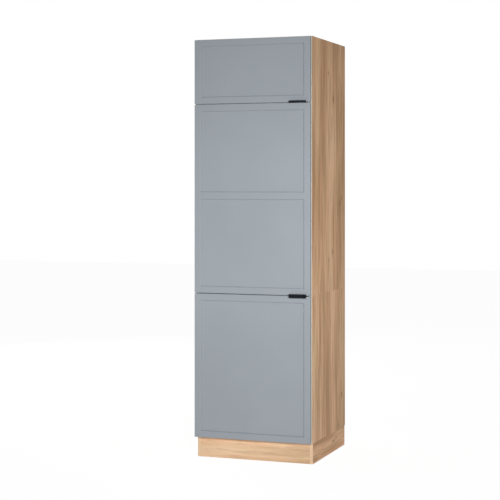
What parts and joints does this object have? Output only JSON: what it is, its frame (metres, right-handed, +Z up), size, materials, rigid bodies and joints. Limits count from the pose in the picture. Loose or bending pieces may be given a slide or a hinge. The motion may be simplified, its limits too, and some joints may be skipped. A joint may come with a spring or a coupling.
{
  "type": "fridge housing unit",
  "caption": "Tall kitchen cabinet on a wood-look plinth with blue-grey framed doors and black edge pulls, made to house a built-in fridge.",
  "frame": {"origin": "on the floor, at the middle of the overall width and of the overall depth, pulls included", "axes": "+X to the right as seen from the front, +Y from the doors to the wall, +Z up"},
  "size_m": [0.6, 0.604, 2.055],
  "materials": {
    "front_lacquer": "matte blue-grey lacquer on milled fibreboard",
    "side_wood": "matte upright oak decor",
    "plinth_wood": "matte level oak decor",
    "inside_board": "matte oak decor on chipboard",
    "hardboard": "thin pale hardboard",
    "dowel_wood": "plain beech",
    "black_metal": "fine matte black",
    "black_plastic": "moulded",
    "zinc_steel": "zinc plated",
    "nickel_steel": "nickel plated",
    "clear_rubber": "soft and translucent"
  },
  "bodies": {
    "carcass": {"side_panel_left": "side_wood", "side_panel_right": "side_wood", "top_panel": "inside_board", "bottom_panel": "inside_board", "niche_floor": "inside_board", "niche_ceiling": "inside_board", "adjustable_shelf": "inside_board", "shelf_pins": "zinc_steel", "back_panel_lower": "hardboard", "back_panel_upper": "hardboard", "rear_rail_bottom": "inside_board", "rear_rail_niche": "inside_board", "rear_rail_top": "inside_board", "rail_dowels": "dowel_wood", "cam_locks": "zinc_steel", "cam_bolts": "zinc_steel", "plinth_front": "plinth_wood", "plinth_side_left": "plinth_wood", "plinth_side_right": "plinth_wood", "plinth_corner_blocks": "black_plastic", "plinth_clips": "black_plastic", "foot_sockets": "black_plastic", "socket_screws": "zinc_steel", "hinge_plates": "nickel_steel", "hinge_arms": "nickel_steel", "hinge_screws": "zinc_steel"},
    "top_door": {"door_top": "front_lacquer", "handle_top": "black_metal", "handle_screws_top": "zinc_steel", "hinge_cups_top": "nickel_steel", "cup_screws_top": "zinc_steel", "bumpers_top": "clear_rubber"},
    "middle_door": {"door_middle": "front_lacquer", "handle_middle": "black_metal", "handle_screws_middle": "zinc_steel", "hinge_cups_middle": "nickel_steel", "cup_screws_middle": "zinc_steel", "bumpers_middle": "clear_rubber"},
    "bottom_door": {"door_bottom": "front_lacquer", "handle_bottom": "black_metal", "handle_screws_bottom": "zinc_steel", "hinge_cups_bottom": "nickel_steel", "cup_screws_bottom": "zinc_steel", "bumpers_bottom": "clear_rubber"},
    "front_left_foot": {"foot_front_left": "black_plastic"},
    "front_right_foot": {"foot_front_right": "black_plastic"},
    "rear_left_foot": {"foot_rear_left": "black_plastic"},
    "rear_right_foot": {"foot_rear_right": "black_plastic"}
  },
  "joints": [
    {"name": "top_door_hinge", "type": "hinge", "parent": "carcass", "child": "top_door", "pos_m": [-0.291, -0.2746, 1.895], "axis": [0, 0, -1], "range_deg": [0, 95]},
    {"name": "middle_door_hinge", "type": "hinge", "parent": "carcass", "child": "middle_door", "pos_m": [-0.291, -0.2746, 1.273], "axis": [0, 0, -1], "range_deg": [0, 95]},
    {"name": "bottom_door_hinge", "type": "hinge", "parent": "carcass", "child": "bottom_door", "pos_m": [-0.291, -0.2746, 0.4555], "axis": [0, 0, -1], "range_deg": [0, 95]},
    {"name": "front_left_foot_screw", "type": "slide", "parent": "carcass", "child": "front_left_foot", "axis": [0, 0, -1], "range_m": [0, 0.02]},
    {"name": "front_right_foot_screw", "type": "slide", "parent": "carcass", "child": "front_right_foot", "axis": [0, 0, -1], "range_m": [0, 0.02]},
    {"name": "rear_left_foot_screw", "type": "slide", "parent": "carcass", "child": "rear_left_foot", "axis": [0, 0, -1], "range_m": [0, 0.02]},
    {"name": "rear_right_foot_screw", "type": "slide", "parent": "carcass", "child": "rear_right_foot", "axis": [0, 0, -1], "range_m": [0, 0.02]}
  ]
}
